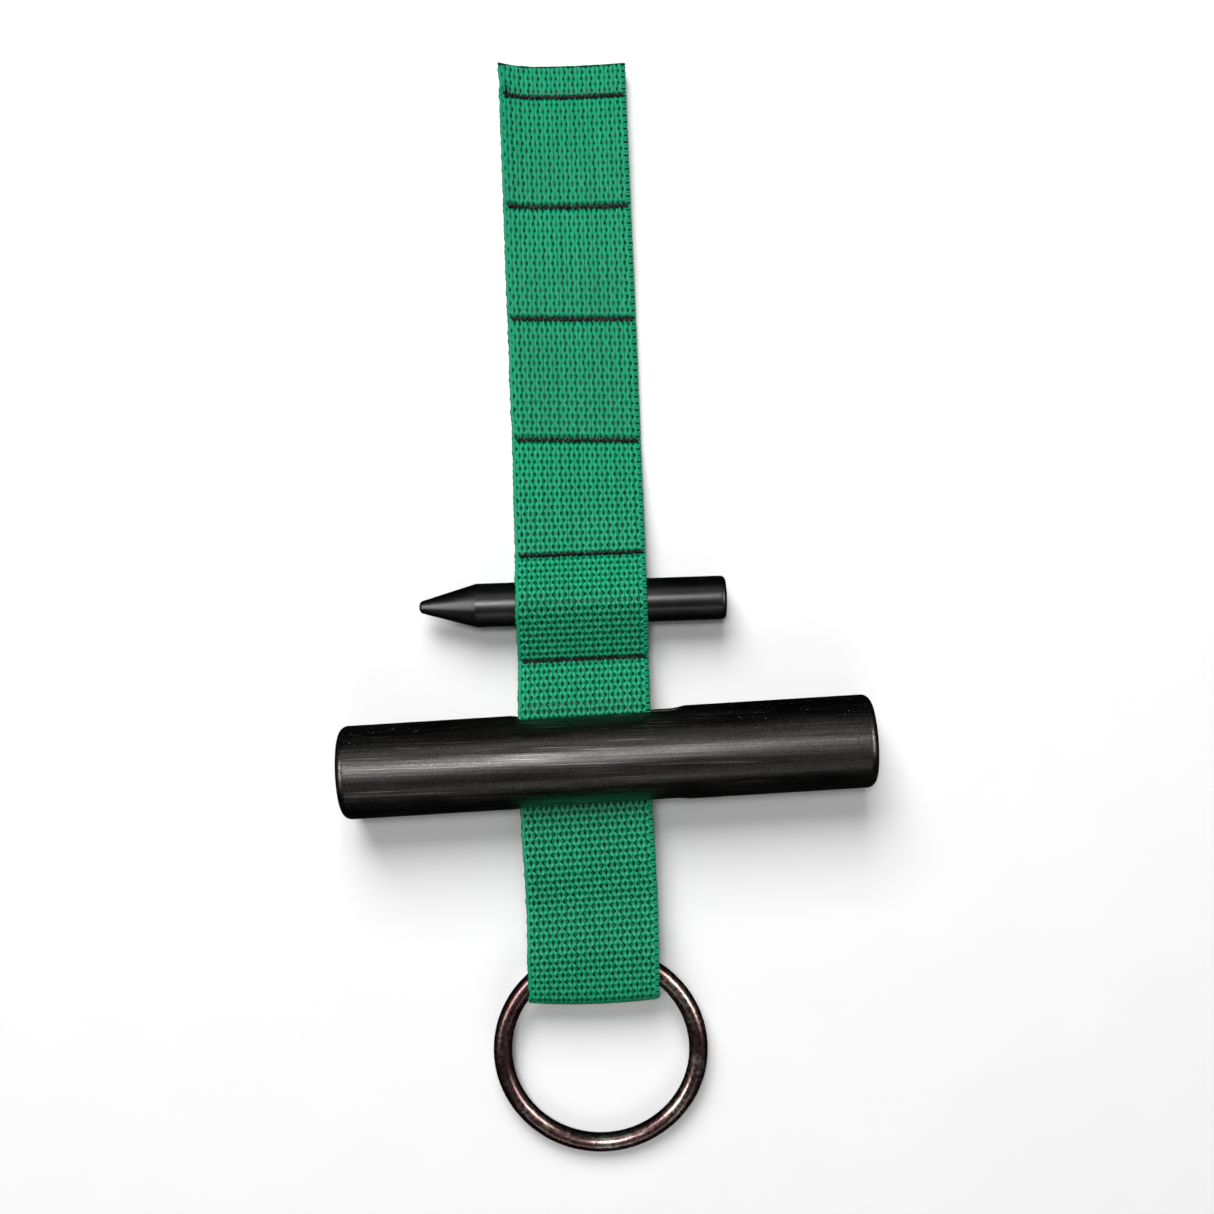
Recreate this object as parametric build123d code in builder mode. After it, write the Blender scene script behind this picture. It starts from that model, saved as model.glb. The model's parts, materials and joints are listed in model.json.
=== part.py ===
from build123d import *
import math
import os

# A strap tourniquet. One strip of flat webbing is folded in two round a steel ring and stitched
# through both layers, so that the doubled strap is a row of pockets with a ring at one end. A pointed
# toggle pin sits in the last pocket, and a thick windlass bar rides on the strap in its own slot.
#
# The strap lies along Y with its free end at +Y and its ring at -Y, on the plane Z = 0. The origin is
# the middle of the whole object's box, on that plane. Millimetres.

# --- driving dimensions -------------------------------------------------------------------------

overall_length = 319.4

webbing_width = 38.1
layer_thickness = 1.6
strap_x = -6.1  # middle of the strap's width, left of the bar's middle

end_tab_length = 9.5
pocket_lengths = (32.3, 32.9, 35.6, 33.9, 30.2)  # seam to seam along Y, from the free end
end_seam_relief = 1.62  # round groove that holds the free end's own thread
seam_relief = 2.1  # round groove at a seam where the strap folds
pocket_relief = 2.6  # the same beside the opened pocket, whose layers stand at a steeper angle
thread_radius = 1.55
seam_length = 36.4

pin_diameter = 12.7
pin_length = 88.9
pin_cone_length = 16.6
pin_tip_radius = 1.6
pin_tip_round = 1.44
pin_butt_round = 1.5
pin_x = -8.5
pin_from_seam = 13.7  # pin axis to the seam on its free-end side
pin_clearance = 0.3

bar_diameter = 26.7
bar_length = 152.4
bar_edge_round = 2.5
bar_from_seam = 28.1  # bar axis to the nearest seam
bar_skew = 1.6  # degrees that the bar stands off square to the strap
slot_length = 49.0
slot_height = 8.0
slot_shift = -1.8  # slot's middle from the bar's middle
slot_edge_round = 0.7

level_start = 12.3  # where the strap is level with the slot, measured from the pocket's seam
ring_hinge_from_bar = 30.6
ring_hinge_relief = 2.6
loop_parting = 11.0  # from the hinge to where the two layers part round the ring

ring_inner_diameter = 51.6
ring_wire_diameter = 5.4
ring_x = -4.7
ring_clearance = 0.3
eye_start = 25.6  # from the hinge to the middle of the eye's near end
fold_clearance = 0.4

# --- places worked out from them ----------------------------------------------------------------

strap_left = strap_x - webbing_width / 2
flat_level = layer_thickness  # height of the faying plane between two layers that lie flat
under_strap = -layer_thickness  # a level below everything, for clearing what falls under a layer

pin_radius = pin_diameter / 2
wrap_radius = pin_radius + pin_clearance
pin_level = wrap_radius + layer_thickness
bar_radius = bar_diameter / 2
wire_radius = ring_wire_diameter / 2
ring_radius = ring_inner_diameter / 2 + wire_radius

free_end_y = overall_length / 2
seam_y = [free_end_y - end_tab_length]
for pocket_length in pocket_lengths:
    seam_y.append(seam_y[-1] - pocket_length)

# seams 1 to 4 lie flat, and seams 5 and 6 stand at the pin's height
seam_level = [flat_level] * 4 + [pin_level] * 2
seams = list(zip(seam_y, seam_level))

pin_y = seam_y[4] - pin_from_seam
bar_y = seam_y[5] - bar_from_seam
hinge_y = bar_y - ring_hinge_from_bar
hinge_level = bar_radius

# The ring's far side rests on the ground, and the loop and ring slope down to it in one plane.
ring_far_y = -overall_length / 2 + wire_radius
ring_slope = math.degrees(math.atan2(hinge_level - wire_radius, hinge_y - ring_far_y))
hinge_to_far_wire = math.hypot(hinge_level - wire_radius, hinge_y - ring_far_y)
hinge_to_ring = hinge_to_far_wire - ring_radius

# The wire's inner edge reaches furthest from the hinge at the strap's left edge.
ring_side = ring_x - strap_left
ring_inner_radius = ring_inner_diameter / 2
wire_reach = hinge_to_ring - math.sqrt(ring_inner_radius**2 - ring_side**2)
eye_radius = wire_radius + ring_clearance
fold_centre = wire_reach + fold_clearance - eye_radius

os.makedirs("parts", exist_ok=True)


def save(piece, label):
    """Labels a finished piece and writes it as the file of its own node."""
    piece.part.label = label
    export_step(piece.part, f"parts/{label}.step")


# --- the webbing --------------------------------------------------------------------------------


def strap_layer(label, path, side, grooves):
    """One layer of webbing along a path of (y, z) points on the faying plane.

    side is 1 for the layer above the path and -1 for the one below. Each groove is a (y, z) point
    and the radius of the round groove that clears the thread and the fold there.
    """
    reach = side * layer_thickness
    starts = zip(path[:-1], path[1:])
    with BuildPart() as layer:
        with BuildSketch(Plane.YZ.offset(strap_left)):
            for (y0, z0), (y1, z1) in starts:
                run = math.hypot(y1 - y0, z1 - z0)
                across = Vector((z0 - z1) / run, (y1 - y0) / run) * reach
                near = Vector(y0, z0)
                far = Vector(y1, z1)
                with BuildLine():
                    Polyline(near, far, far + across, near + across, close=True)
                make_face()
            bends = path[1:-1]
            if bends and side > 0:
                with Locations(*bends):
                    Circle(layer_thickness)
                below = [*path, (path[-1][0], under_strap), (path[0][0], under_strap)]
                with BuildLine():
                    Polyline(*below, close=True)
                make_face(mode=Mode.SUBTRACT)
            for place, radius in grooves:
                with Locations(place):
                    Circle(radius, mode=Mode.SUBTRACT)
        extrude(amount=webbing_width)
    save(layer, label)


def taut_webbing(plane, outer, inner):
    """Webbing drawn taut round things, seen along X: the outer outlines less the inner one.

    An outline is the tight loop round some circles, given as their centres and their radii. The first
    circle is a real one, and a radius of 0 is a bare corner.
    """
    with BuildPart() as webbing:
        for (places, radii), mode in [*((outline, Mode.ADD) for outline in outer), (inner, Mode.SUBTRACT)]:
            with BuildSketch(plane):
                with BuildLine():
                    for place, radius in zip(places, radii):
                        if radius:
                            CenterArc(place, radius, 0, 360)
                        else:
                            Line(places[0], place)
                make_hull()
            extrude(amount=webbing_width, mode=mode)
    return webbing


def strap_stretch(name, path, grooves):
    """Both layers of a stretch of doubled strap."""
    strap_layer(f"{name}_front", path, 1, grooves)
    strap_layer(f"{name}_back", path, -1, grooves)


# free end, beyond the first seam
strap_stretch(
    "end_tab",
    [seams[0], (free_end_y, flat_level)],
    [(seams[0], end_seam_relief)],
)

# pockets 1 to 4, closed
reliefs = [end_seam_relief, seam_relief, seam_relief, seam_relief, pocket_relief]
for number in range(1, 5):
    upper = seams[number - 1]
    lower = seams[number]
    strap_stretch(
        f"pocket_{number}",
        [lower, upper],
        [(upper, reliefs[number - 1]), (lower, reliefs[number])],
    )

# pocket 5, opened by the pin: each layer runs from seam to seam round its own side of the pin
pin_place = (pin_y, pin_level)
opened_pocket = taut_webbing(
    Plane.YZ.offset(strap_left),
    [
        ([pin_place, *seams[4:]], [wrap_radius + layer_thickness, layer_thickness, layer_thickness]),
    ],
    ([pin_place, *seams[4:]], [wrap_radius, 0, 0]),
)
for label, keep in (("pocket_5_front", Keep.TOP), ("pocket_5_back", Keep.BOTTOM)):
    with BuildPart() as opened_layer:
        add(opened_pocket.part)
        split(bisect_by=Plane.XY.offset(pin_level), keep=keep)
        with BuildSketch(Plane.YZ.offset(strap_left)):
            with Locations(*seams[4:]):
                Circle(pocket_relief)
        extrude(amount=webbing_width, mode=Mode.SUBTRACT)
    save(opened_layer, label)

# neck, from the opened pocket up to the slot's level and through the bar
strap_stretch(
    "neck",
    [(hinge_y, hinge_level), (seam_y[5] - level_start, hinge_level), seams[5]],
    [(seams[5], pocket_relief), ((hinge_y, hinge_level), ring_hinge_relief)],
)

# ring loop: both layers and the fold between them, open round the ring's wire
slope = math.radians(ring_slope)
loop_plane = Plane(
    origin=(strap_left, hinge_y, hinge_level),
    x_dir=(0, -math.cos(slope), -math.sin(slope)),
    z_dir=(1, 0, 0),
)
doubled = ([(0, 0), (loop_parting, 0)], [layer_thickness, layer_thickness])
eye = [(eye_start, 0), (fold_centre, 0), (loop_parting, 0)]
ring_loop = taut_webbing(
    loop_plane,
    [
        doubled,
        (eye, [eye_radius + layer_thickness, eye_radius + layer_thickness, layer_thickness]),
    ],
    (eye, [eye_radius, eye_radius, 0]),
)
save(ring_loop, "ring_loop")

# --- the thread ---------------------------------------------------------------------------------

# Each seam is a rod of thread along its fold line, where it ties the two layers together.
for number, place in enumerate(seams, start=1):
    with BuildPart() as seam:
        with BuildSketch(Plane.YZ.offset(strap_x - seam_length / 2)):
            with Locations(place):
                Circle(thread_radius)
        extrude(amount=seam_length)
    save(seam, f"seam_{number}")

# --- the toggle pin -----------------------------------------------------------------------------

pin_start = pin_x - pin_length / 2
pin_axis = Axis((0, pin_y, pin_level), (1, 0, 0))
with BuildPart() as toggle_pin:
    with BuildSketch(Plane.XY.offset(pin_level)):
        with BuildLine():
            Polyline(
                (pin_start, pin_y),
                (pin_start, pin_y + pin_tip_radius),
                (pin_start + pin_cone_length, pin_y + pin_radius),
                (pin_start + pin_length, pin_y + pin_radius),
                (pin_start + pin_length, pin_y),
                close=True,
            )
        make_face()
    revolve(axis=pin_axis)
    rims = toggle_pin.edges().filter_by(GeomType.CIRCLE).sort_by(Axis.X)
    fillet(rims[-1], pin_butt_round)
    fillet(rims[0], pin_tip_round)
save(toggle_pin, "toggle_pin")

# --- the windlass bar ---------------------------------------------------------------------------

skew = math.radians(bar_skew)
bar_direction = Vector(math.cos(skew), math.sin(skew), 0)
bar_across = Vector(-math.sin(skew), math.cos(skew), 0)
bar_centre = Vector(0, bar_y, bar_radius)
bar_plane = Plane(origin=bar_centre, x_dir=bar_across, z_dir=bar_direction)
slot_plane = Plane(
    origin=bar_centre + bar_direction * slot_shift,
    x_dir=bar_direction,
    z_dir=bar_across,
)
with BuildPart() as windlass_bar:
    with BuildSketch(bar_plane):
        Circle(bar_radius)
    extrude(amount=bar_length / 2, both=True)
    fillet(windlass_bar.edges().filter_by(GeomType.CIRCLE), bar_edge_round)
    with BuildSketch(slot_plane):
        SlotOverall(slot_length, slot_height)
    extrude(amount=bar_diameter, both=True, mode=Mode.SUBTRACT)
    # the slot's two mouths: the edges on the bar's round surface, away from its ends
    mouths = [
        edge
        for edge in windlass_bar.edges()
        if abs((edge.center() - bar_centre).dot(bar_direction)) < slot_length
        and abs((edge.center() - bar_centre).dot(bar_across)) > bar_radius - slot_height / 2
    ]
    fillet(mouths, slot_edge_round)
save(windlass_bar, "windlass_bar")

# --- the ring -----------------------------------------------------------------------------------

ring_plane = Plane(
    origin=(
        ring_x,
        hinge_y - hinge_to_ring * math.cos(slope),
        hinge_level - hinge_to_ring * math.sin(slope),
    ),
    x_dir=(1, 0, 0),
    z_dir=(0, -math.sin(slope), math.cos(slope)),
)
with BuildPart(ring_plane) as ring:
    Torus(ring_radius, wire_radius)
save(ring, "ring")
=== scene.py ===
import json
import math

import bpy
import numpy as np
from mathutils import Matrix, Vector


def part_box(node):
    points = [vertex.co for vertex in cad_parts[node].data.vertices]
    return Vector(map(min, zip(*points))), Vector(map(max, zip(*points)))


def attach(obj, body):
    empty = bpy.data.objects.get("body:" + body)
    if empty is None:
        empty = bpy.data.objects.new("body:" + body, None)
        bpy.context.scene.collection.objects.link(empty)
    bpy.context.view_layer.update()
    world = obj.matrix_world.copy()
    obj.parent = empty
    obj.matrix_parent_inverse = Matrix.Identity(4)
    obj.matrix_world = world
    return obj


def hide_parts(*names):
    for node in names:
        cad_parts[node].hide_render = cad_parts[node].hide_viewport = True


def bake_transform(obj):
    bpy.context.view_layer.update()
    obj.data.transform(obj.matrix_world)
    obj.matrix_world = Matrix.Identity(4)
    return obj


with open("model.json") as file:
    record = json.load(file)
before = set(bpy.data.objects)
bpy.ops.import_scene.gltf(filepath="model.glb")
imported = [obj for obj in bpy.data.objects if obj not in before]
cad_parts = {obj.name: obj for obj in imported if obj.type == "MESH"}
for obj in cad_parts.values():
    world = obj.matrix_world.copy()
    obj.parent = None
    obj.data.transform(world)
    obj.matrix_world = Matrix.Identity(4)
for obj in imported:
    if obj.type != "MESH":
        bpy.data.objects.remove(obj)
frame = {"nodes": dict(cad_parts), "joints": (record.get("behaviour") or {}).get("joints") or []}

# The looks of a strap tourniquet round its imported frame. The webbing is woven from its yarns: warp ends that
# run the whole length in pairs, knuckles of filling between them, a cord along the left edge and a knitted
# chain along the right. The seams are sewn from thread. The bar, the pin and the ring keep their CAD shapes
# and get worn finishes. Sizes are in millimetres, and the floor, the lamps and the camera are in metres.

MM = 0.001
random = np.random.default_rng(7)
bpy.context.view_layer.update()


# --- places read from the frame -----------------------------------------------------------------


def box_mm(node):
    low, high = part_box(node)
    return np.array(low) / MM, np.array(high) / MM


def middle_mm(node):
    low, high = box_mm(node)
    return (low + high) / 2


def joint(name):
    return next(j for j in frame["joints"] if j["name"] == name)


layer_low, layer_high = box_mm("pocket_1_front")
layer_thickness = layer_high[2] - layer_low[2]
webbing_width = layer_high[0] - layer_low[0]
strap_x = (layer_low[0] + layer_high[0]) / 2
flat_level = layer_low[2]
free_end_y = box_mm("end_tab_front")[1][1]
seam_places = [middle_mm(f"seam_{number}")[1:] for number in range(1, 7)]

pin_low, pin_high = box_mm("toggle_pin")
pin_centre = (pin_low + pin_high) / 2
pin_radius = (pin_high[2] - pin_low[2]) / 2
pin_clearance = 0.3

bar_centre = middle_mm("windlass_bar")
bar_radius = bar_centre[2]
neck_level_start = 12.3  # from the last seam to where the strap is level with the bar's slot

hinge = np.array(joint("ring_swing")["pos_m"][1:]) / MM
ring_axis = Vector(joint("ring_spin")["axis"])
loop_direction = np.array([-ring_axis[2], ring_axis[1]])  # from the hinge down to the ring, as (y, z)
ring_wire_radius = 2.7
eye_clearance = 0.3
eye_radius = ring_wire_radius + eye_clearance
loop_parting = 11.0  # from the hinge to where the two layers part round the ring
eye_start = 25.6  # from the hinge to the middle of the eye's near end
fold_centre = (hinge[0] - box_mm("ring_loop")[0][1] - eye_radius - layer_thickness) / ring_axis[2]


# --- the strap's middle line --------------------------------------------------------------------

half_layer = layer_thickness / 2
sample_step = 0.39
bend_softness = 1.1  # how far the webbing's stiffness rounds off its bends
arc_step = 0.2

neck_bend = np.array([seam_places[5][0] - neck_level_start, bar_radius])
free_end = np.array([free_end_y, flat_level])


def loop_place(distance):
    return hinge + loop_direction * distance


outward_stops = [
    (free_end, half_layer),
    *((place, half_layer) for place in seam_places[:5]),
    (pin_centre[1:], pin_radius + pin_clearance + half_layer),
    (seam_places[5], half_layer),
    (neck_bend, half_layer),
    (hinge, half_layer),
    (loop_place(loop_parting), half_layer),
    (loop_place(eye_start), eye_radius + half_layer),
]
fold_stop = (loop_place(fold_centre), eye_radius + half_layer)


def taut_line(stops):
    """Points along a line drawn tight past stops on its left, each a (y, z) centre and a radius."""
    tangents = []
    for (here, radius), (there, next_radius) in zip(stops[:-1], stops[1:]):
        run = there - here
        length = np.hypot(*run)
        along = run / length
        right = np.array([along[1], -along[0]])
        lean = (radius - next_radius) / length
        tangents.append(lean * along + math.sqrt(1 - lean**2) * right)
    points = [stops[0][0] + stops[0][1] * tangents[0]]
    for (centre, radius), before, after in zip(stops[1:-1], tangents[:-1], tangents[1:]):
        turn = math.atan2(before[0] * after[1] - before[1] * after[0], before @ after)
        if turn > 0:
            start = math.atan2(before[1], before[0])
            for angle in np.linspace(start, start + turn, 2 + int(turn * radius / arc_step)):
                points.append(centre + radius * np.array([math.cos(angle), math.sin(angle)]))
        else:
            points.append(centre + radius * (before + after) / (1 + before @ after))
    points.append(stops[-1][0] + stops[-1][1] * tangents[-1])
    return np.array(points)


def evenly(points, step):
    """The same line with its points a step apart, and how far along it each one is."""
    gaps = np.hypot(*np.diff(points, axis=0).T)
    reach = np.concatenate([[0], np.cumsum(gaps)])
    along = np.linspace(0, reach[-1], 1 + round(reach[-1] / step))
    return along, np.column_stack([np.interp(along, reach, column) for column in points.T])


def softened(points, step, spread):
    """The line with its bends rounded off over a spread, and its two ends where they were."""
    count = int(4 * spread / step)
    offsets = np.arange(-count, count + 1) * step
    weights = np.exp(-((offsets / spread) ** 2) / 2)
    weights /= weights.sum()
    before = 2 * points[0] - points[count:0:-1]
    after = 2 * points[-1] - points[-2 : -count - 2 : -1]
    padded = np.vstack([before, points, after])
    return np.column_stack([np.convolve(column, weights, "valid") for column in padded.T])


fine_step = 0.1
_, drawn = evenly(taut_line([*outward_stops, fold_stop, *outward_stops[::-1]]), fine_step)
path_s, path = evenly(softened(drawn, fine_step, bend_softness), fine_step)
path_length = path_s[-1]
path_tangent = np.gradient(path, path_s, axis=0)
path_tangent /= np.hypot(*path_tangent.T)[:, None]
path_out = np.column_stack([path_tangent[:, 1], -path_tangent[:, 0]])
fold_s = path_length / 2


def along_front(y):
    """How far along the strip its front layer passes a place y."""
    front = path_s < fold_s
    order = np.argsort(path[front, 0])
    return float(np.interp(y, path[front, 0][order], path_s[front][order]))


# --- how the real strap lies --------------------------------------------------------------------

seam_skew = np.radians([-1.7, -1.6, -1.9, -2.3, 0.3, 0.8])  # each seam's lean off square, up to the right
seam_s = np.array([along_front(place[0]) for place in seam_places])
pinch_width = 1.0
pinch_squeeze = 0.4  # share of a layer's thickness that the thread's pull takes away
pinch_depth = 0.3
pocket_puff = [0.35, 0.45, 0.3, 0.35]  # how far pockets 1 to 4 stand up in their middles

sway_y = [-116, -85, -57, -15, 20, 60, 110, 160]
sway_x = [0.0, 0.45, -0.3, 0.15, 0.3, 0.1, -0.2, -0.45]

cup_start = 70.0  # from here the free end curls up at both edges
cup_full = 12.0  # from the free end to where the curl is complete
cup_low_line = -7.0
cup_left = 4.0
cup_right = 2.8
cup_narrowing = 0.02

end_askew = 0.024  # slope of the cut free end off square
end_askew_reach = 9.0

fold_reach = 14.0  # how far from the fold the strap is drawn out of its plain shape
fold_bulge = 1.0
fold_pull = 1.1  # how far the drawn fold lies inside the solid one
fold_thinning = 0.25


def ease(value):
    value = np.clip(value, 0, 1)
    return value * value * (3 - 2 * value)


def pinch(s, t):
    """How near a seam a place on either layer is, from 0 to 1."""
    from_end = np.minimum(s, path_length - s)
    total = 0
    for place, skew in zip(seam_s, seam_skew):
        line = place - t * math.tan(skew)
        total = total + np.exp(-(((from_end - line) / pinch_width) ** 2))
    return total


def puff(s):
    """How far the front layer of a closed pocket stands off the back one."""
    height = np.zeros_like(s)
    for start, end, most in zip(seam_s[:4], seam_s[1:5], pocket_puff):
        share = np.clip((s - start) / (end - start), 0, 1)
        height += most * np.sin(math.pi * share) ** 2
    return height


def place(s, t, h):
    """Points in metres of places on the strip: s along it, t across it, h out from the layer's middle."""
    from_end = np.minimum(s, path_length - s)
    shift = end_askew * (t + webbing_width / 2) * np.clip(1 - from_end / end_askew_reach, 0, 1)
    s = s + np.where(s < fold_s, shift, -shift)
    y = np.interp(s, path_s, path[:, 0])
    z = np.interp(s, path_s, path[:, 1])
    out_y = np.interp(s, path_s, path_out[:, 0])
    out_z = np.interp(s, path_s, path_out[:, 1])
    near_seam = pinch(s, t)
    at_fold = ease(1 - np.abs(s - fold_s) / fold_reach)
    height = h * (1 - pinch_squeeze * near_seam) * (1 - fold_thinning * at_fold)
    height = height - pinch_depth * near_seam + puff(s) * (s < fold_s)
    y = y + out_y * height
    z = z + out_z * height
    across = t / (webbing_width / 2)
    reach = (fold_bulge * (1 - across**2) - fold_pull) * at_fold
    y = y + loop_direction[0] * reach
    z = z + loop_direction[1] * reach
    curl = ease((y - cup_start) / (free_end_y - cup_full - cup_start))
    side = np.where(
        t < cup_low_line,
        cup_left * ((cup_low_line - t) / (cup_low_line + webbing_width / 2)) ** 2,
        cup_right * ((t - cup_low_line) / (webbing_width / 2 - cup_low_line)) ** 2,
    )
    z = z + curl * side
    x = strap_x + np.interp(y, sway_y, sway_x) + t * (1 - cup_narrowing * curl)
    return np.stack([x, y, z], axis=-1) * MM


# --- mesh building ------------------------------------------------------------------------------


class Tubes:
    """Closed tubes gathered into one mesh. Each vertex knows its place on its yarn and its level of painted
    light: painted shade when low, a painted highlight when high.
    """

    def __init__(self):
        self.points, self.yarns, self.exposures, self.faces, self.caps = [], [], [], [], []
        self.count = 0

    def add(self, rings, yarn, exposure=1.0):
        """rings is (tubes, steps, round, 3) in metres. yarn has its shape: along, across and number."""
        tubes, steps, around, _ = rings.shape
        index = self.count + np.arange(tubes * steps * around).reshape(tubes, steps, around)
        turned = np.roll(index, -1, axis=2)
        quads = np.stack([index[:, :-1], turned[:, :-1], turned[:, 1:], index[:, 1:]], axis=-1)
        self.faces += quads.reshape(-1, 4).tolist()
        self.caps += index[:, 0, ::-1].tolist() + index[:, -1].tolist()
        self.points.append(rings.reshape(-1, 3))
        self.yarns.append(yarn.reshape(-1, 3))
        self.exposures.append(np.broadcast_to(exposure, rings.shape[:3]).reshape(-1))
        self.count += tubes * steps * around

    def add_on_strip(self, s, t, h, yarn, exposure=1.0):
        """The same from places on the strip, with yarn as (along, across, number)."""
        s, t, h, *yarn = np.broadcast_arrays(s, t, h, *yarn)
        self.add(place(s, t, h), np.stack(yarn, axis=-1), exposure)

    def mesh(self, name, material):
        data = bpy.data.meshes.new(name)
        points = np.concatenate(self.points)
        data.from_pydata(points.tolist(), [], self.faces + self.caps)
        data.polygons.foreach_set("use_smooth", [True] * len(data.polygons))
        yarn = data.attributes.new("yarn", "FLOAT_VECTOR", "POINT")
        yarn.data.foreach_set("vector", np.concatenate(self.yarns).astype(np.float32).ravel())
        # each point's level of painted light: painted shade in the hollows, a painted highlight on the crests
        exposure = data.attributes.new("exposure", "FLOAT", "POINT")
        exposure.data.foreach_set("value", np.concatenate(self.exposures).astype(np.float32))
        on_cap = np.zeros(len(points), bool)
        for cap in self.caps:
            on_cap[cap] = True
        ends = np.zeros(len(data.edges) * 2, np.int32)
        data.edges.foreach_get("vertices", ends)
        sharp = on_cap[ends.reshape(-1, 2)].all(axis=1)
        data.attributes.new("sharp_edge", "BOOLEAN", "EDGE").data.foreach_set("value", sharp)
        data.materials.append(material)
        piece = bpy.data.objects.new(name, data)
        bpy.context.scene.collection.objects.link(piece)
        return piece


def oval(count):
    """Cosines and sines of even steps round an oval."""
    angle = np.arange(count) * 2 * math.pi / count
    return np.cos(angle), np.sin(angle)


def squared(values, power):
    """Cosines or sines drawn towards a square: the lower the power, the squarer."""
    return np.sign(values) * np.abs(values) ** power


# --- the weave ----------------------------------------------------------------------------------

row_pitch = 1.95
warp_ends = 27
pair_pitch = 2.66
weave_left = -18.05
rows_in_strip = int(path_length / row_pitch) + 3

# A pair of warp ends is drawn tight where it rides high on a row, and lies open where it rides low.
# Each value is for a pair that is open, level with its neighbours, and tight.
end_offset = (0.74, 0.665, 0.23)  # from the pair's middle to the middle of each end
end_half_width = (0.51, 0.92, 0.23)
end_height = (0.68, 0.88, 0.84)
end_side_power, end_top_power = 0.8, 0.6

# how open the weave is along the strip's front, from the free end to the fold
openness_y = (150, 118, 85, 50, 16, 0, -15, -43, -73, -100, -115)
openness = (0.63, 0.65, 0.69, 0.80, 0.96, 1.10, 1.02, 0.98, 1.06, 1.04, 0.98)

# The painted light of a point sets how dark or pale its yarn is painted: painted shade that deepens lower in
# the weave, and a painted highlight that the ridges between rows add where the weave is open: from nothing at
# crest_from to all of it at crest_full.
painted_shade_by_height, painted_crest_highlight = 0.78, 0.22
crest_from, crest_full = 0.72, 1.0

# the filling shows as a small knuckle at each side of an open pair
knuckle_offset = 1.47  # from the pair's middle
knuckle_half_width = 0.19
knuckle_half_length = 0.52
knuckle_height = 0.64
knuckle_rings = ((-1.0, 0.35), (0.0, 1.0), (1.0, 0.35))  # place along it and size there
knuckle_wander = 0.04

core_half_height = 0.14
core_half_width = 18.0
core_points = 12

cord_centre = -18.3  # a plain cord closes the strap's left edge
cord_half_width = 0.62
cord_height = 0.74
cord_lump = 0.09
cord_top_power = 0.7

knit_pitch = row_pitch / 2  # small turns of yarn close the right edge, like a knitted chain
knit_phase = 0.25
knit_inner, knit_outer = 17.6, 18.85
knit_half_width = 0.36
knit_thickness = 0.2
knit_height = 0.56
knit_lean = 0.14
knit_swing = (0.86, 1.06)  # least and most that one turn stands out, as a share
knit_round_power = 0.6
knit_yarn_stretch = 3
# a level of painted light that leaves the knitted edge in its plain green
knit_plain_level = 0.8

bead_from, bead_to = -19.0, 18.9  # the melted bead at the cut end runs past both edges
bead_steps = 120
bead_lump_span = 7
bead_radius = 0.36
bead_lumps = 0.16
bead_tip_radius = 0.2
bead_inward = 0.25
bead_tallness = 2.7
# a low level of painted light, which darkens the bead's green
bead_dark_level = 0.25

# The warp ends are numbered from 0, and the other yarns from these, so that each takes its own shade.
core_yarn, bead_yarn, cord_yarn = 31, 33, 40
stitch_yarn, loose_yarn = 60, 70
knit_yarn, knuckle_yarn = 100, 140

# The rows lean as the seams do, past the last seam by these angles at these places, and not at the fold.
lean_y = (-85, -100)
lean_angle = (2.2, 1.6)
row_lean_s = [*seam_s, *(along_front(y) for y in lean_y), fold_s]
row_lean_slope = np.tan([*seam_skew, *np.radians(lean_angle), 0])

end_wander = random.normal(0, 0.035, (warp_ends, rows_in_strip))
end_rise = random.normal(0, 0.025, (warp_ends, rows_in_strip))
edge_wander = random.normal(0, 0.11, (1, rows_in_strip))


def between(values, level):
    """A value that runs from values[0] at level -1 through values[1] at 0 to values[2] at 1."""
    low, middle, high = values
    return middle + (high - low) / 2 * level + ((high + low) / 2 - middle) * level**2


def opened(values, level, gap):
    """The same value where the weave is more or less open than usual."""
    return values[1] + (between(values, level) - values[1]) * gap


def row_lean(s, t):
    """How far a row has moved along the strip at t, as each row leans the way the nearest seam does."""
    from_end = np.minimum(s, path_length - s)
    slope = np.interp(from_end, row_lean_s, row_lean_slope)
    return np.where(s < fold_s, 1, -1) * slope * t


def per_row(table, s):
    """Each end's own value for each row, carried smoothly along it."""
    row = np.clip(s / row_pitch, 0, rows_in_strip - 2)
    whole = np.floor(row).astype(int)
    share = ease(row - whole)
    return table[:, whole] * (1 - share) + table[:, whole + 1] * share


def gap_at(s):
    """How open the weave is at places along the strip."""
    y = np.interp(np.minimum(s, path_length - s), path_s, path[:, 0])
    return np.interp(y, openness_y[::-1], openness[::-1])


def warp_tubes(tubes, s):
    """The warp ends of one layer between the first and last of the places s."""
    number = np.arange(warp_ends)
    pair = number // 2
    hand = np.where(number % 2, 1.0, -1.0)[:, None]
    sign = np.where(pair % 2, -1.0, 1.0)[:, None]
    middle = (weave_left + (pair + 0.5) * pair_pitch)[:, None]
    level = sign * np.cos(math.pi * (s + row_lean(s, middle)) / row_pitch)
    gap = gap_at(s)
    offset = opened(end_offset, level, gap)
    half = opened(end_half_width, level, gap)
    top = opened(end_height, level, gap) + per_row(end_rise, s)
    centre = middle + hand * offset + per_row(end_wander, s)
    cosine, sine = oval(8)
    local = half[..., None] * squared(cosine, end_side_power)
    h = top[..., None] * squared(sine, end_top_power)
    # Painted shade deepens lower in the weave, and a painted highlight lies on the ridges between rows.
    painted_highlight = (1 - level**2) ** 2 * np.clip((gap - crest_from) / (crest_full - crest_from), 0, 1)
    exposure = painted_shade_by_height * np.abs(h) / end_height[1] + painted_crest_highlight * painted_highlight[..., None] * sine**4
    along = s[:, None]
    tubes.add_on_strip(along, centre[..., None] + local, h, (along, local, number[:, None, None]), exposure)


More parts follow.
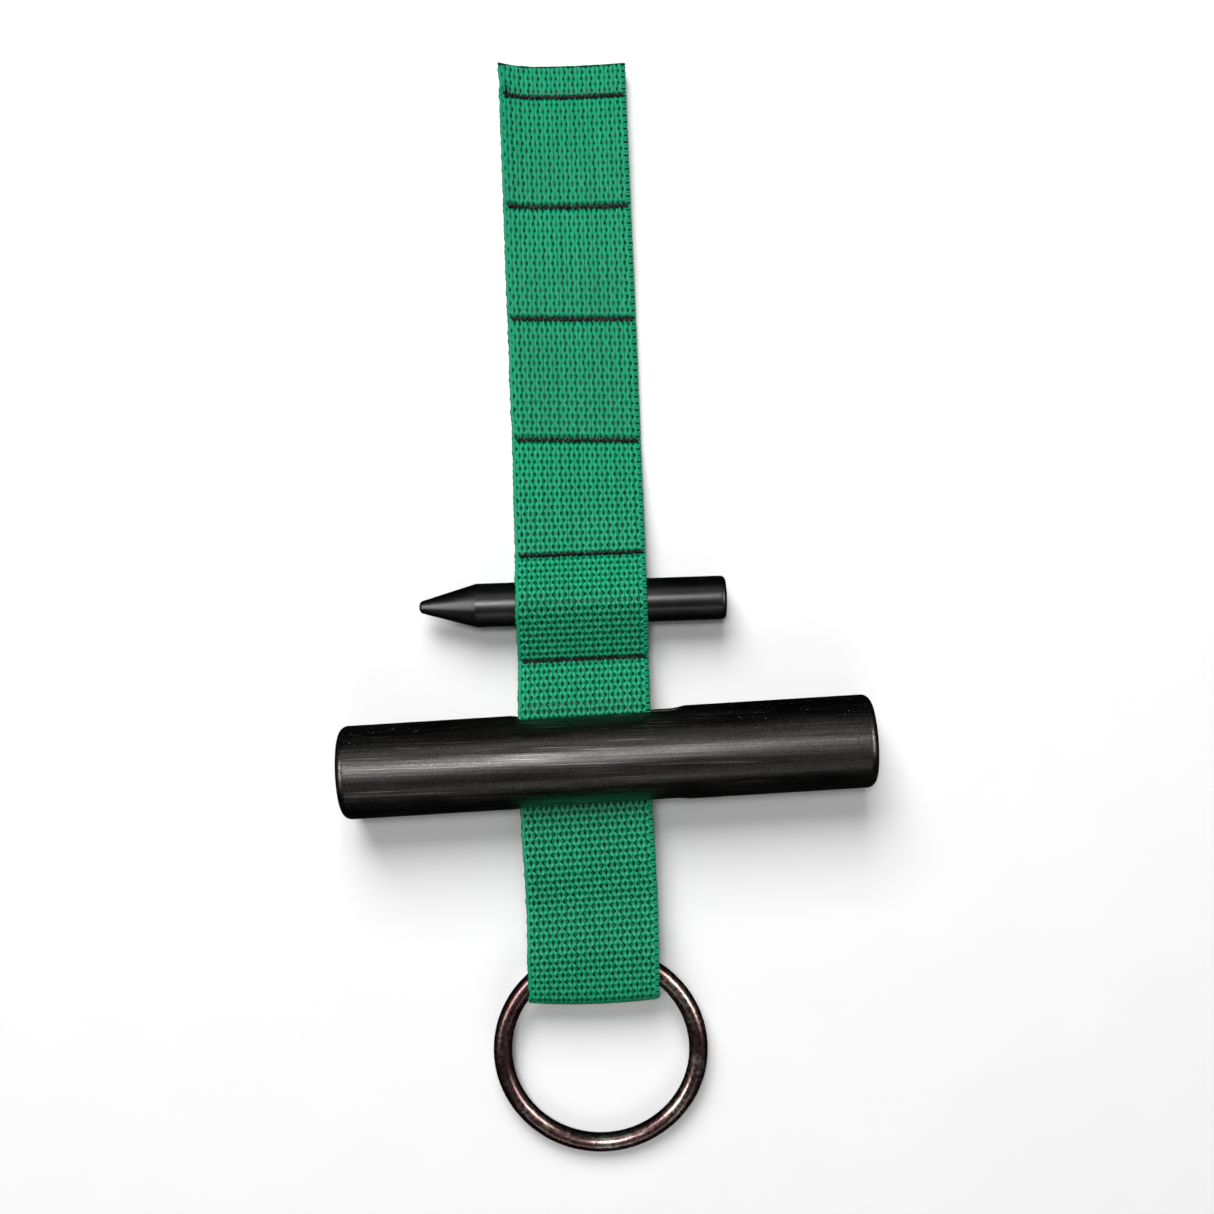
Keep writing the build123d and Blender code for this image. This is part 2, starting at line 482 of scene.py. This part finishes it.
def knuckles(tubes, first, last):
    """The turns of filling that show at both sides of every open pair of one layer."""
    cosine, sine = oval(6)
    along, size = np.array(knuckle_rings).T[..., None]
    for pair in range((warp_ends + 1) // 2):
        middle = weave_left + (pair + 0.5) * pair_pitch
        lean = row_lean(np.array([(first + last) / 2]), middle)[0]
        open_row = pair % 2 + 1
        low = math.ceil(((first + knuckle_half_length + lean) / row_pitch - open_row) / 2)
        high = math.floor(((last - knuckle_half_length + lean) / row_pitch - open_row) / 2)
        row_s = (np.arange(low, high + 1) * 2 + open_row) * row_pitch
        for hand in (-1, 1):
            t = middle + hand * knuckle_offset
            if abs(t) > knit_inner or len(row_s) == 0:
                continue
            centre_s = (row_s - row_lean(row_s, middle))[:, None, None]
            wander = random.normal(0, knuckle_wander, len(row_s))[:, None, None]
            s = centre_s + along * knuckle_half_length
            local = wander - knuckle_half_width * size * sine
            h = knuckle_height * gap_at(centre_s) ** 2 * size * cosine
            # The knuckles are painted in shade low down and with a painted highlight on their tops.
            tubes.add_on_strip(s, t + local, h, (s, local, knuckle_yarn + pair), np.abs(h) / knuckle_height)


def edge_cord(tubes, s):
    """The plain cord along the left edge, gently lumpy where the filling turns round it."""
    cosine, sine = oval(10)
    lump = 1 + cord_lump * np.cos(2 * math.pi * s / row_pitch)[None, :, None]
    local = cord_half_width * lump * cosine
    t = cord_centre + local + per_row(edge_wander, s)[..., None]
    h = cord_height * lump * squared(sine, cord_top_power)
    along = s[:, None]
    # The cord is painted in shade low down, with a touch of painted highlight on its top.
    tubes.add_on_strip(along, t, h, (along, local, cord_yarn), painted_shade_by_height * np.abs(h) / cord_height)


def knitted_edge(tubes, first, last):
    """The chain of small yarn turns round the right edge of one layer."""
    number = np.arange(math.ceil(first / knit_pitch - knit_phase), math.ceil(last / knit_pitch - knit_phase))
    number = number[:, None, None]
    angle = np.linspace(-math.pi / 2, math.pi / 2, 9)[:, None]
    cosine, sine = oval(6)
    lean = np.where(number % 2, knit_lean, -knit_lean) * np.sin(angle)
    local = knit_half_width * cosine
    s = (number + knit_phase) * knit_pitch + lean + local
    swing = np.cos(angle) * random.uniform(*knit_swing, len(number))[:, None, None]
    t = knit_inner + (knit_outer - knit_inner) * swing**knit_round_power + knit_thickness * swing * sine
    h = np.sin(angle) * (knit_height + knit_thickness * sine)
    yarn = (t * knit_yarn_stretch, local, knit_yarn + number)
    tubes.add_on_strip(np.clip(s, 0, path_length), t, h, yarn, knit_plain_level)


def core_tube(tubes, s):
    """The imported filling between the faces, which no light passes."""
    across = np.linspace(-core_half_width, core_half_width, core_points)
    t = np.concatenate([across, across[::-1]])
    h = np.repeat([-core_half_height, core_half_height], core_points)
    along = s[None, :, None]
    # The core takes the lowest level of painted light, so it is painted in the deepest shade.
    tubes.add_on_strip(along, t, h, (along, t, core_yarn), 0.0)


def melted_end(tubes, end):
    """The heat-cut end of one layer: a lumpy bead where the yarns have run together."""
    t = np.linspace(bead_from, bead_to, bead_steps)
    evening = np.ones(bead_lump_span) / bead_lump_span
    lumps = np.convolve(random.normal(size=len(t) + bead_lump_span - 1), evening, "valid")
    radius = bead_radius + bead_lumps * lumps
    radius[[0, -1]] = bead_tip_radius
    radius = radius[None, :, None]
    cosine, sine = oval(8)
    inward = bead_inward if end == 0 else -bead_inward
    local = inward + radius * cosine
    h = bead_tallness * radius * sine
    along = t[:, None]
    s = np.clip(end + local, 0, path_length)
    # The bead takes a low level of painted light, which darkens it.
    tubes.add_on_strip(s, along, h, (along, local, bead_yarn), bead_dark_level)


def webbing_piece(name, near, far, material):
    """Both layers of the strip from near to far, measured along the front layer from the free end."""
    tubes = Tubes()
    if far >= fold_s:
        spans = [(near, path_length - near)]
    else:
        spans = [(near, far), (path_length - far, path_length - near)]
    for first, last in spans:
        s = np.linspace(first, last, 1 + round((last - first) / sample_step))
        warp_tubes(tubes, s)
        knuckles(tubes, first, last)
        core_tube(tubes, s)
        edge_cord(tubes, s)
        knitted_edge(tubes, first, last)
    if near == 0:
        melted_end(tubes, 0)
        melted_end(tubes, path_length)
    return tubes.mesh(name, material)


# --- the thread ---------------------------------------------------------------------------------

thread_radius = 0.21
seam_start, seam_end = -17.6, 18.3
stitch_reach = 0.78
stitch_rows = ((0.92, 0.84), (1.5, 1.12))  # pitch and height of each time over
stitch_wander = 0.07
stitch_spread = (0.8, 1.12)  # least and most share of the reach
stitch_arch = 0.2
stitch_fineness = 5

loose_ends = ((-17.1, 0.9), (-16.5, -0.5))  # where each leaves the first seam, and how far it wanders across
loose_length = 3.4
loose_start = 0.5
loose_steps = 12
loose_height, loose_rise, loose_turn = 0.9, 1.2, 2.2


def thread_line(tubes, s, t, h, number):
    """A round thread along a line of places on the strip."""
    cosine, sine = oval(6)
    centre = np.stack([s, t], axis=-1)
    run = np.gradient(centre, axis=0)
    run /= np.hypot(*run.T)[:, None] + 1e-9
    s = s[:, None] - run[:, 1:] * thread_radius * cosine
    t = t[:, None] + run[:, :1] * thread_radius * cosine
    h = h[:, None] + thread_radius * sine
    gone = np.cumsum(np.hypot(*np.gradient(centre, axis=0).T))[:, None]
    tubes.add_on_strip(s[None], t[None], h[None], (gone, thread_radius * cosine, number))


def seam_piece(name, number, material):
    """One cross-seam: a dense zigzag of thick thread over both faces, sewn over twice."""
    tubes = Tubes()
    skew = math.tan(seam_skew[number])
    for face in (0, 1):
        for turn, (pitch, height) in enumerate(stitch_rows):
            t = np.arange(seam_start, seam_end, pitch / 2)
            t = t + random.normal(0, stitch_wander, len(t))
            side = np.where(np.arange(len(t)) % 2, 1.0, -1.0)
            reach = side * stitch_reach * random.uniform(*stitch_spread, len(t))
            fine = np.linspace(0, len(t) - 1, stitch_fineness * len(t))
            across = np.interp(fine, np.arange(len(t)), t)
            along = np.interp(fine, np.arange(len(t)), reach)
            lift = height + stitch_arch * np.cos(along / stitch_reach * math.pi / 2)
            s = seam_s[number] - across * skew + along
            thread_line(tubes, path_length - s if face else s, across, lift, stitch_yarn + turn)
    if number == 0:
        share = np.linspace(0, 1, loose_steps)
        for start, wander in loose_ends:
            s = seam_s[0] + loose_start - share * loose_length
            h = loose_height + loose_rise * np.sin(share * loose_turn)
            thread_line(tubes, s, start + wander * share**2, h, loose_yarn)
    return tubes.mesh(name, material)


# --- materials ----------------------------------------------------------------------------------


class Nodes:
    """A short way to write a material's node tree."""

    def __init__(self, name):
        self.material = bpy.data.materials.new(name)
        self.material.use_nodes = True
        self.tree = self.material.node_tree
        self.tree.nodes.clear()
        self.shader = self.tree.nodes.new("ShaderNodeBsdfPrincipled")
        output = self.tree.nodes.new("ShaderNodeOutputMaterial")
        self.link(self.shader.outputs["BSDF"], output.inputs["Surface"])

    def link(self, source, target):
        self.tree.links.new(source, target)

    def set(self, **values):
        for name, value in values.items():
            self.shader.inputs[name.replace("_", " ")].default_value = value

    def node(self, kind, inputs=(), **settings):
        node = self.tree.nodes.new("ShaderNode" + kind)
        for key, value in settings.items():
            setattr(node, key, value)
        for key, value in dict(inputs).items():
            if isinstance(value, bpy.types.NodeSocket):
                self.link(value, node.inputs[key])
            else:
                node.inputs[key].default_value = value
        return node

    def place(self, scale, kind="Object"):
        """Object coordinates, or the yarn's own, stretched by a scale."""
        if kind == "Object":
            source = self.node("TexCoord").outputs["Object"]
        else:
            source = self.node("Attribute", attribute_name=kind).outputs["Vector"]
        return self.node("Mapping", {"Vector": source, "Scale": scale}).outputs["Vector"]

    def noise(self, where, scale, detail=2.0, roughness=0.5):
        settings = {"Vector": where, "Scale": scale, "Detail": detail, "Roughness": roughness}
        return self.node("TexNoise", settings).outputs["Fac"]

    def ramp(self, value, *stops):
        """A ramp from (position, colour or grey level) stops."""
        node = self.node("ValToRGB", {"Fac": value})
        elements = node.color_ramp.elements
        for element, (position, colour) in zip([elements[0], elements[-1]], [stops[0], stops[-1]]):
            element.position = position
            element.color = colour_of(colour)
        for position, colour in stops[1:-1]:
            elements.new(position).color = colour_of(colour)
        return node.outputs["Color"]

    def mix(self, factor, one, two, blend="MIX"):
        node = self.node("Mix", data_type="RGBA", blend_type=blend)
        for index, value in ((0, factor), (6, one), (7, two)):
            if isinstance(value, bpy.types.NodeSocket):
                self.link(value, node.inputs[index])
            else:
                node.inputs[index].default_value = value if index == 0 else colour_of(value)
        return node.outputs[2]

    def bump(self, height, strength, distance, under=None):
        node = self.node("Bump", {"Height": height, "Strength": strength, "Distance": distance})
        if under:
            self.link(under, node.inputs["Normal"])
        return node.outputs["Normal"]


def colour_of(value):
    if isinstance(value, (int, float)):
        return (value, value, value, 1)
    return (*value, 1)


def webbing_material():
    """Green filament yarn: long fine filaments, ends that differ a little, and a soft synthetic sheen, with
    painted shade deep in the weave and a painted highlight on its crests.
    """
    nodes = Nodes("green_webbing")
    filaments = nodes.noise(nodes.place((0.5, 9, 3.7), "yarn"), 1.0, 3.0, 0.6)
    ends = nodes.noise(nodes.place((0.02, 0.0, 5.3), "yarn"), 1.0, 1.0)
    patches = nodes.noise(nodes.place((60, 60, 60)), 1.0, 3.0)
    green = nodes.ramp(filaments, (0.3, (0.002, 0.255, 0.118)), (0.7, (0.007, 0.385, 0.207)))
    shade = nodes.ramp(ends, (0.3, 0.88), (0.7, 1.0))
    green = nodes.mix(1.0, green, shade, "MULTIPLY")
    faded = nodes.ramp(patches, (0.35, 0.93), (0.65, 1.0))
    green = nodes.mix(1.0, green, faded, "MULTIPLY")
    # Painted shade darkens the green deep in the weave, and a painted highlight pales it on the crests.
    painted_light_level = nodes.node("Attribute", attribute_name="exposure").outputs["Fac"]
    painted_shade = nodes.ramp(painted_light_level, (0.12, (0.03, 0.07, 0.035)), (0.47, (0.5, 0.64, 0.5)), (0.72, 1.0))
    green = nodes.mix(1.0, green, painted_shade, "MULTIPLY")
    painted_highlight = nodes.ramp(painted_light_level, (0.80, 0.0), (0.98, 0.75))
    green = nodes.mix(painted_highlight, green, (0.085, 0.40, 0.26))
    nodes.link(green, nodes.shader.inputs["Base Color"])
    gloss = nodes.ramp(filaments, (0.3, 0.40), (0.7, 0.24))
    nodes.link(gloss, nodes.shader.inputs["Roughness"])
    nodes.link(nodes.bump(filaments, 0.5, 0.00012), nodes.shader.inputs["Normal"])
    nodes.set(Specular_IOR_Level=0.29)
    return nodes.material


def thread_material():
    """Heavy black thread with a twist and a dull gloss."""
    nodes = Nodes("black_thread")
    twist = nodes.noise(nodes.place((1.3, 6, 1), "yarn"), 1.6, 2.0)
    nodes.link(nodes.ramp(twist, (0.35, 0.001), (0.7, 0.005)), nodes.shader.inputs["Base Color"])
    nodes.link(nodes.ramp(twist, (0.3, 0.32), (0.7, 0.14)), nodes.shader.inputs["Roughness"])
    nodes.link(nodes.bump(twist, 0.6, 0.00015), nodes.shader.inputs["Normal"])
    nodes.set(Specular_IOR_Level=0.5)
    return nodes.material


def bar_material():
    """Black finish drawn along the bar: fine lines and scratches lengthwise, specks of dust and chips."""
    nodes = Nodes("black_bar")
    lines = nodes.noise(nodes.place((9, 1400, 1400)), 1.0, 4.0, 0.65)
    bands = nodes.noise(nodes.place((3, 260, 260)), 1.0, 2.0)
    smudges = nodes.noise(nodes.place((38, 90, 90)), 1.0, 4.0, 0.6)
    scratches = nodes.ramp(nodes.noise(nodes.place((14, 2300, 2300)), 1.0, 1.0), (0.65, 0.0), (0.72, 1.0))
    specks = nodes.ramp(nodes.noise(nodes.place((1700, 2600, 2600)), 1.0, 1.0), (0.72, 0.0), (0.78, 1.0))
    grit = nodes.ramp(nodes.noise(nodes.place((1300, 2100, 2100)), 1.0, 3.0, 0.7), (0.38, 0.25), (0.62, 1.0))
    black = nodes.ramp(lines, (0.3, (0.085, 0.080, 0.076)), (0.75, (0.22, 0.212, 0.206)))
    black = nodes.mix(0.5, black, grit, "MULTIPLY")
    worn = nodes.mix(scratches, black, (0.44, 0.43, 0.42))
    nodes.link(nodes.mix(specks, worn, (0.16, 0.155, 0.15)), nodes.shader.inputs["Base Color"])
    nodes.link(nodes.ramp(specks, (0.0, 1.0), (1.0, 0.0)), nodes.shader.inputs["Metallic"])
    gloss = nodes.ramp(bands, (0.35, 0.27), (0.65, 0.36))
    dull = nodes.ramp(smudges, (0.35, 0.0), (0.7, 0.12))
    gloss = nodes.mix(1.0, gloss, dull, "ADD")
    nodes.link(gloss, nodes.shader.inputs["Roughness"])
    drawn_lines = nodes.bump(lines, 0.5, 0.00008)
    nodes.link(nodes.bump(grit, 0.3, 0.00004, drawn_lines), nodes.shader.inputs["Normal"])
    return nodes.material


def pin_material():
    """Turned black pin: fine rings round it, a little worn at its cone."""
    nodes = Nodes("black_pin")
    rings = nodes.noise(nodes.place((1800, 20, 20)), 1.0, 2.0)
    smudges = nodes.noise(nodes.place((60, 120, 120)), 1.0, 4.0, 0.6)
    specks = nodes.ramp(nodes.noise(nodes.place((2000, 2000, 2000)), 1.0, 1.0), (0.73, 0.0), (0.79, 1.0))
    black = nodes.ramp(smudges, (0.3, 0.09), (0.75, 0.13))
    nodes.link(nodes.mix(specks, black, (0.16, 0.155, 0.15)), nodes.shader.inputs["Base Color"])
    nodes.link(nodes.ramp(specks, (0.0, 1.0), (1.0, 0.0)), nodes.shader.inputs["Metallic"])
    nodes.link(nodes.ramp(smudges, (0.3, 0.30), (0.7, 0.42)), nodes.shader.inputs["Roughness"])
    nodes.link(nodes.bump(rings, 0.2, 0.00006), nodes.shader.inputs["Normal"])
    return nodes.material


def ring_material():
    """Dark plated steel with a maroon cast, worn to grey metal in patches."""
    nodes = Nodes("plated_ring")
    patches = nodes.noise(nodes.place((70, 70, 70)), 1.0, 4.0, 0.6)
    grain = nodes.noise(nodes.place((900, 900, 900)), 1.0, 3.0, 0.6)
    cast = nodes.ramp(patches, (0.3, (0.16, 0.080, 0.078)), (0.7, (0.50, 0.32, 0.30)))
    wear = nodes.ramp(nodes.mix(0.35, patches, grain), (0.52, 0.0), (0.62, 1.0))
    nodes.link(nodes.mix(wear, cast, (0.68, 0.62, 0.54)), nodes.shader.inputs["Base Color"])
    nodes.link(nodes.ramp(grain, (0.3, 0.23), (0.7, 0.36)), nodes.shader.inputs["Roughness"])
    nodes.link(nodes.bump(grain, 0.3, 0.00008), nodes.shader.inputs["Normal"])
    nodes.set(Metallic=1.0)
    return nodes.material


def floor_material():
    nodes = Nodes("pale_floor")
    speckle = nodes.noise(nodes.place((40, 40, 40)), 1.0, 2.0)
    nodes.link(nodes.ramp(speckle, (0.0, 0.90), (1.0, 0.93)), nodes.shader.inputs["Base Color"])
    nodes.set(Roughness=0.9, Specular_IOR_Level=0.1)
    return nodes.material


# --- the pieces ---------------------------------------------------------------------------------

webbing = webbing_material()
thread = thread_material()


def middle_of_pocket(number):
    """Halfway along pocket number's front layer."""
    return (seam_s[number - 1] + seam_s[number]) / 2


def snapped(s):
    """The nearest place halfway between two rows, where the weave is closed and a cut shows least."""
    return (math.floor(s / row_pitch) + 0.5) * row_pitch


loop_cut = 12.0  # from the hinge to where the loop's own stretch of webbing starts

cuts = [0, *(snapped(middle_of_pocket(number)) for number in range(2, 5))]
cuts += [snapped(along_front(y)) for y in (pin_centre[1], bar_centre[1], hinge[0] - loop_cut)]


def bend_at(piece):
    """Bakes the piece's placement into its mesh."""
    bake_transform(piece)


stretches = [
    ("webbing_1", "pocket_2", "pocket_1", seam_places[1], ["end_tab", "pocket_1", "pocket_2"]),
    ("webbing_2", "pocket_3", "pocket_2", seam_places[2], ["pocket_2", "pocket_3"]),
    ("webbing_3", "pocket_4", "pocket_3", seam_places[3], ["pocket_3", "pocket_4"]),
    ("webbing_4", "pocket_5", "pocket_4", seam_places[4], ["pocket_4", "pocket_5"]),
    ("webbing_5", "neck", "pocket_5", seam_places[5], ["pocket_5", "neck"]),
    ("webbing_6", "loop", "neck", hinge, ["neck"]),
]
for (name, near_body, far_body, hinge_line, stood_for), near, far in zip(stretches, cuts[:-1], cuts[1:]):
    piece = webbing_piece(name, near, far, webbing)
    bend_at(piece)
    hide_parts(*(f"{node}_{side}" for node in stood_for for side in ("front", "back")))

loop = webbing_piece("webbing_loop", cuts[-1], fold_s, webbing)
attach(loop, "loop")
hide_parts("ring_loop")

seam_bodies = ["pocket_1", "pocket_2", "pocket_3", "pocket_4", "pocket_5", "neck"]
for number, body in enumerate(seam_bodies):
    seam = seam_piece(f"stitching_{number + 1}", number, thread)
    if number == 0:
        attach(seam, body)
    else:
        bend_at(seam)
    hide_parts(f"seam_{number + 1}")


def finish_node(name, material):
    """A CAD node keeps its shape and takes a better material."""
    node = frame["nodes"][name]
    node.data.materials.clear()
    node.data.materials.append(material)
    node.data.polygons.foreach_set("use_smooth", [True] * len(node.data.polygons))


finish_node("windlass_bar", bar_material())
finish_node("toggle_pin", pin_material())
finish_node("ring", ring_material())


# --- floor, light and camera --------------------------------------------------------------------


floor_reach = 6.0
floor_corners = [(-1, -1, 0), (1, -1, 0), (1, 1, 0), (-1, 1, 0)]

camera_lens = 44.61
camera_place = (0.00144, 0.00012, 0.445)
camera_turn = -1.92


def add_floor():
    data = bpy.data.meshes.new("floor")
    corners = [(x * floor_reach, y * floor_reach, z) for x, y, z in floor_corners]
    data.from_pydata(corners, [], [(0, 1, 2, 3)])
    data.materials.append(floor_material())
    floor = bpy.data.objects.new("floor", data)
    bpy.context.scene.collection.objects.link(floor)
    floor.visible_glossy = False  # the dark pieces mirror no floor, as in the photograph


def add_light(name, direction, size, power, distance=1.5, mirrored=True, lighting=True):
    """A soft box, size wide and long, that shines on the object from a direction.

    mirrored says whether glossy surfaces show it, and lighting whether it lights dull ones.
    """
    data = bpy.data.lights.new(name, "AREA")
    data.shape = "RECTANGLE"
    data.size, data.size_y = size
    data.energy = power
    lamp = bpy.data.objects.new(name, data)
    bpy.context.scene.collection.objects.link(lamp)
    away = Vector(direction).normalized()
    lamp.location = away * distance
    lamp.rotation_euler = away.to_track_quat("Z", "Y").to_euler()
    lamp.visible_glossy = mirrored
    lamp.visible_diffuse = lighting


def add_world(level):
    world = bpy.data.worlds.new("studio")
    world.use_nodes = True
    world.node_tree.nodes["Background"].inputs["Color"].default_value = (1, 1, 1, 1)
    world.node_tree.nodes["Background"].inputs["Strength"].default_value = level
    bpy.context.scene.world = world
    world.cycles_visibility.glossy = False


def add_camera():
    data = bpy.data.cameras.new("camera")
    data.sensor_width = 36.0
    data.lens = camera_lens
    camera = bpy.data.objects.new("camera", data)
    bpy.context.scene.collection.objects.link(camera)
    camera.location = camera_place
    camera.rotation_euler = (0, 0, math.radians(camera_turn))
    bpy.context.scene.camera = camera


add_floor()
add_light("soft_top", (-0.22, 0.95, 1.0), size=(0.85, 0.90), power=26.0, mirrored=False)
add_light("soft_low", (0.1, -1.2, 1.0), size=(0.9, 0.6), power=2.8, mirrored=False)
add_light("key", (-0.10, 0.15, 1.0), size=(0.30, 0.18), power=4.0, distance=1.3)
add_light("back_band", (-0.30, 1.02, 1.0), size=(1.0, 0.34), power=0.8)
add_light("low_strip", (0.05, -1.33, 1.0), size=(1.0, 0.10), power=0.7)
add_light("left_strip", (-1.1, 0.1, 1.0), size=(1.0, 0.18), power=8.0, lighting=False)
add_light("right_strip", (1.1, 0.1, 1.0), size=(1.0, 0.18), power=7.6, lighting=False)
add_world(0.075)
add_camera()
bpy.context.scene.view_settings.view_transform = "Standard"
